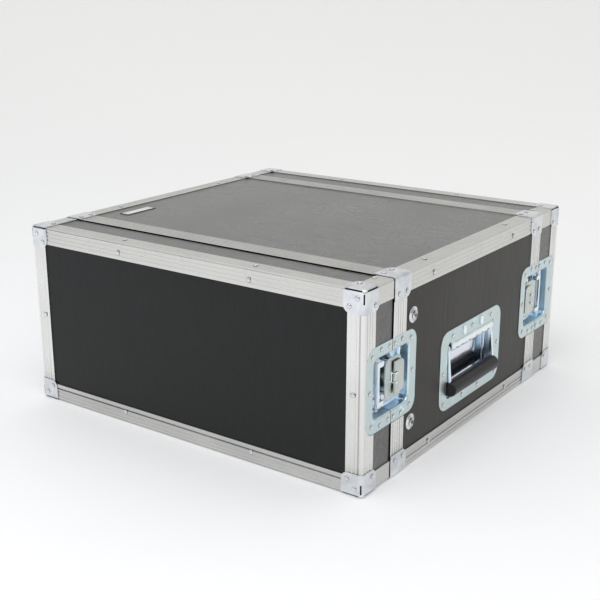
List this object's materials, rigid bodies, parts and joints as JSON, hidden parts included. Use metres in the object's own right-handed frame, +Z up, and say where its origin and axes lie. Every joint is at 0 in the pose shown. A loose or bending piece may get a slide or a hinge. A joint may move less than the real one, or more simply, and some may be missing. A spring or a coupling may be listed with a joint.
{
  "type": "equipment rack case",
  "caption": "Flight case for rack equipment: laminated panels in ribbed aluminium edging, lift-off front and rear lids, recessed butterfly latches and spring handles, and drilled rack rails.",
  "frame": {"origin": "on the floor under the middle of the case", "axes": "+Z up; the front lid faces -Y, the rear lid +Y, and the handles and latches are on the -X and +X sides"},
  "size_m": [0.55, 0.533, 0.2495],
  "materials": {
    "laminate": "black laminated plywood with a fine embossed grain",
    "aluminium_extrusion": "satin anodised",
    "corner_steel": "zinc plated, smooth",
    "zinc_plate": "bright blue zinc plate",
    "zinc_part": "bright zinc plate",
    "fastener_nickel": "nickel plated",
    "rail_steel": "black powder coat",
    "spacer_wood": "plain birch plywood",
    "plate_aluminium": "brushed",
    "grip_rubber": "smooth black rubber"
  },
  "bodies": {
    "case_body": {"panel_top": "laminate", "panel_bottom": "laminate", "panel_left": "laminate", "panel_right": "laminate", "body_edge_angles": "aluminium_extrusion", "front_rim_profile": "aluminium_extrusion", "rear_rim_profile": "aluminium_extrusion", "body_corner_braces": "corner_steel", "rack_rail_left": "rail_steel", "rack_rail_right": "rail_steel", "rail_spacers": "spacer_wood", "rail_screws": "fastener_nickel", "cup_washers": "fastener_nickel", "rail_nuts": "fastener_nickel", "body_rivets": "fastener_nickel", "name_plate": "plate_aluminium", "handle_left_dish": "zinc_plate", "handle_left_rod": "zinc_part", "handle_left_spring": "zinc_part", "handle_right_dish": "zinc_plate", "handle_right_rod": "zinc_part", "handle_right_spring": "zinc_part", "latch_front_left_dish": "zinc_plate", "latch_front_right_dish": "zinc_plate", "latch_rear_left_dish": "zinc_plate", "latch_rear_right_dish": "zinc_plate", "latch_covers": "zinc_part"},
    "front_lid": {"front_lid_face": "laminate", "front_lid_walls": "laminate", "front_lid_angles": "aluminium_extrusion", "front_lid_caps": "corner_steel", "front_lid_groove": "aluminium_extrusion", "front_lid_dishes": "zinc_plate", "front_lid_keepers": "zinc_part", "front_lid_rivets": "fastener_nickel"},
    "rear_lid": {"rear_lid_face": "laminate", "rear_lid_walls": "laminate", "rear_lid_angles": "aluminium_extrusion", "rear_lid_caps": "corner_steel", "rear_lid_groove": "aluminium_extrusion", "rear_lid_dishes": "zinc_plate", "rear_lid_keepers": "zinc_part", "rear_lid_rivets": "fastener_nickel"},
    "handle_left": {"handle_left_bail": "zinc_part", "handle_left_grip": "grip_rubber"},
    "handle_right": {"handle_right_bail": "zinc_part", "handle_right_grip": "grip_rubber"},
    "latch_front_left_cam_body": {"latch_front_left_cam": "zinc_part"},
    "latch_front_left_wing_body": {"latch_front_left_wing": "zinc_part"},
    "latch_front_left_hook_body": {"latch_front_left_hook": "zinc_part"},
    "latch_front_right_cam_body": {"latch_front_right_cam": "zinc_part"},
    "latch_front_right_wing_body": {"latch_front_right_wing": "zinc_part"},
    "latch_front_right_hook_body": {"latch_front_right_hook": "zinc_part"},
    "latch_rear_left_cam_body": {"latch_rear_left_cam": "zinc_part"},
    "latch_rear_left_wing_body": {"latch_rear_left_wing": "zinc_part"},
    "latch_rear_left_hook_body": {"latch_rear_left_hook": "zinc_part"},
    "latch_rear_right_cam_body": {"latch_rear_right_cam": "zinc_part"},
    "latch_rear_right_wing_body": {"latch_rear_right_wing": "zinc_part"},
    "latch_rear_right_hook_body": {"latch_rear_right_hook": "zinc_part"}
  },
  "joints": [
    {"name": "front_lid_slide", "type": "slide", "parent": "case_body", "child": "front_lid", "axis": [0, -1, 0], "range_m": [0, 0.35]},
    {"name": "rear_lid_slide", "type": "slide", "parent": "case_body", "child": "rear_lid", "axis": [0, 1, 0], "range_m": [0, 0.35]},
    {"name": "handle_left_lift", "type": "hinge", "parent": "case_body", "child": "handle_left", "pos_m": [-0.2595, 0, 0.1215], "axis": [0, 1, 0], "range_deg": [0, 88], "stiffness_Nm_per_rad": 0.25, "springref_deg": -22.92},
    {"name": "handle_right_lift", "type": "hinge", "parent": "case_body", "child": "handle_right", "pos_m": [0.2595, 0, 0.1215], "axis": [0, -1, 0], "range_deg": [0, 88], "stiffness_Nm_per_rad": 0.25, "springref_deg": -22.92},
    {"name": "latch_front_left_turn", "type": "hinge", "parent": "case_body", "child": "latch_front_left_cam_body", "pos_m": [-0.255, -0.19, 0.124], "axis": [-1, 0, 0], "range_deg": [0, 180.5]},
    {"name": "latch_front_left_fold", "type": "hinge", "parent": "latch_front_left_cam_body", "child": "latch_front_left_wing_body", "pos_m": [-0.2601, -0.19, 0.124], "axis": [0, 0, 1], "range_deg": [0, 90]},
    {"name": "latch_front_left_draw", "type": "slide", "parent": "case_body", "child": "latch_front_left_hook_body", "axis": [0, -1, 0], "range_m": [0, 0.006]},
    {"name": "latch_front_right_turn", "type": "hinge", "parent": "case_body", "child": "latch_front_right_cam_body", "pos_m": [0.255, -0.19, 0.124], "axis": [1, 0, 0], "range_deg": [0, 180.5]},
    {"name": "latch_front_right_fold", "type": "hinge", "parent": "latch_front_right_cam_body", "child": "latch_front_right_wing_body", "pos_m": [0.2601, -0.19, 0.124], "axis": [0, 0, -1], "range_deg": [0, 90]},
    {"name": "latch_front_right_draw", "type": "slide", "parent": "case_body", "child": "latch_front_right_hook_body", "axis": [0, -1, 0], "range_m": [0, 0.006]},
    {"name": "latch_rear_left_turn", "type": "hinge", "parent": "case_body", "child": "latch_rear_left_cam_body", "pos_m": [-0.255, 0.19, 0.124], "axis": [-1, 0, 0], "range_deg": [0, 180.5]},
    {"name": "latch_rear_left_fold", "type": "hinge", "parent": "latch_rear_left_cam_body", "child": "latch_rear_left_wing_body", "pos_m": [-0.2601, 0.19, 0.124], "axis": [0, 0, -1], "range_deg": [0, 90]},
    {"name": "latch_rear_left_draw", "type": "slide", "parent": "case_body", "child": "latch_rear_left_hook_body", "axis": [0, 1, 0], "range_m": [0, 0.006]},
    {"name": "latch_rear_right_turn", "type": "hinge", "parent": "case_body", "child": "latch_rear_right_cam_body", "pos_m": [0.255, 0.19, 0.124], "axis": [1, 0, 0], "range_deg": [0, 180.5]},
    {"name": "latch_rear_right_fold", "type": "hinge", "parent": "latch_rear_right_cam_body", "child": "latch_rear_right_wing_body", "pos_m": [0.2601, 0.19, 0.124], "axis": [0, 0, 1], "range_deg": [0, 90]},
    {"name": "latch_rear_right_draw", "type": "slide", "parent": "case_body", "child": "latch_rear_right_hook_body", "axis": [0, 1, 0], "range_m": [0, 0.006]}
  ],
  "couplings": [
    {"joint": "latch_front_left_turn", "follows": "latch_front_left_draw", "rad_per_m": 523.6},
    {"joint": "latch_front_right_turn", "follows": "latch_front_right_draw", "rad_per_m": 523.6},
    {"joint": "latch_rear_left_turn", "follows": "latch_rear_left_draw", "rad_per_m": 523.6},
    {"joint": "latch_rear_right_turn", "follows": "latch_rear_right_draw", "rad_per_m": 523.6}
  ]
}
